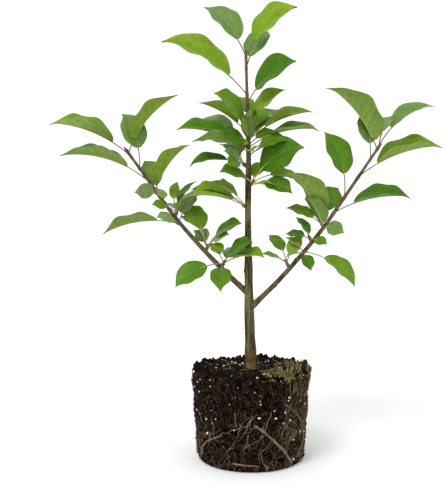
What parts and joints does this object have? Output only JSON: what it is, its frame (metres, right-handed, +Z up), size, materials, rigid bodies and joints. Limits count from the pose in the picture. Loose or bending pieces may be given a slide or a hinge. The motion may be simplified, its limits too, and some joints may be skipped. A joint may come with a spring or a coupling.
{
  "type": "young crabapple tree on its bare root ball",
  "caption": "Young fan-shaped crabapple tree in full leaf, with a straight leader and two boughs, standing on a bare plug of dark soil laced with fine roots.",
  "frame": {"origin": "centre of the root ball's flat underside", "axes": "+Z up the trunk, +X to the right across the fan as seen from its front, -Y towards its front"},
  "size_m": [0.4751, 0.1477, 0.5647],
  "materials": {
    "bark": "smooth young bark, olive to reddish brown",
    "leaf": "satin green leaf, paler below",
    "stalk": "pale green leaf stalk, flushed with pink",
    "peat": "moist crumbly peat",
    "root": "thin tan roots",
    "perlite": "matt white grains",
    "moss": "dry olive moss and fibre"
  },
  "bodies": {
    "root": {"root_ball": "peat", "trunk": "bark", "bough_left": "bark", "bough_right": "bark", "leaves_leader_tip": "leaf", "leaves_leader_ring": "leaf", "leaves_left_tip": "leaf", "leaves_right_tip": "leaf", "leaves_trunk_left": "leaf", "leaves_trunk_right": "leaf", "leaves_trunk_low": "leaf", "leaves_left_ring": "leaf", "leaves_left_out": "leaf", "leaves_left_inner": "leaf", "leaves_left_low": "leaf", "leaves_right_ring": "leaf", "leaves_right_mid": "leaf", "leaves_right_inner": "leaf", "leaves_right_low": "leaf"}
  },
  "joints": []
}
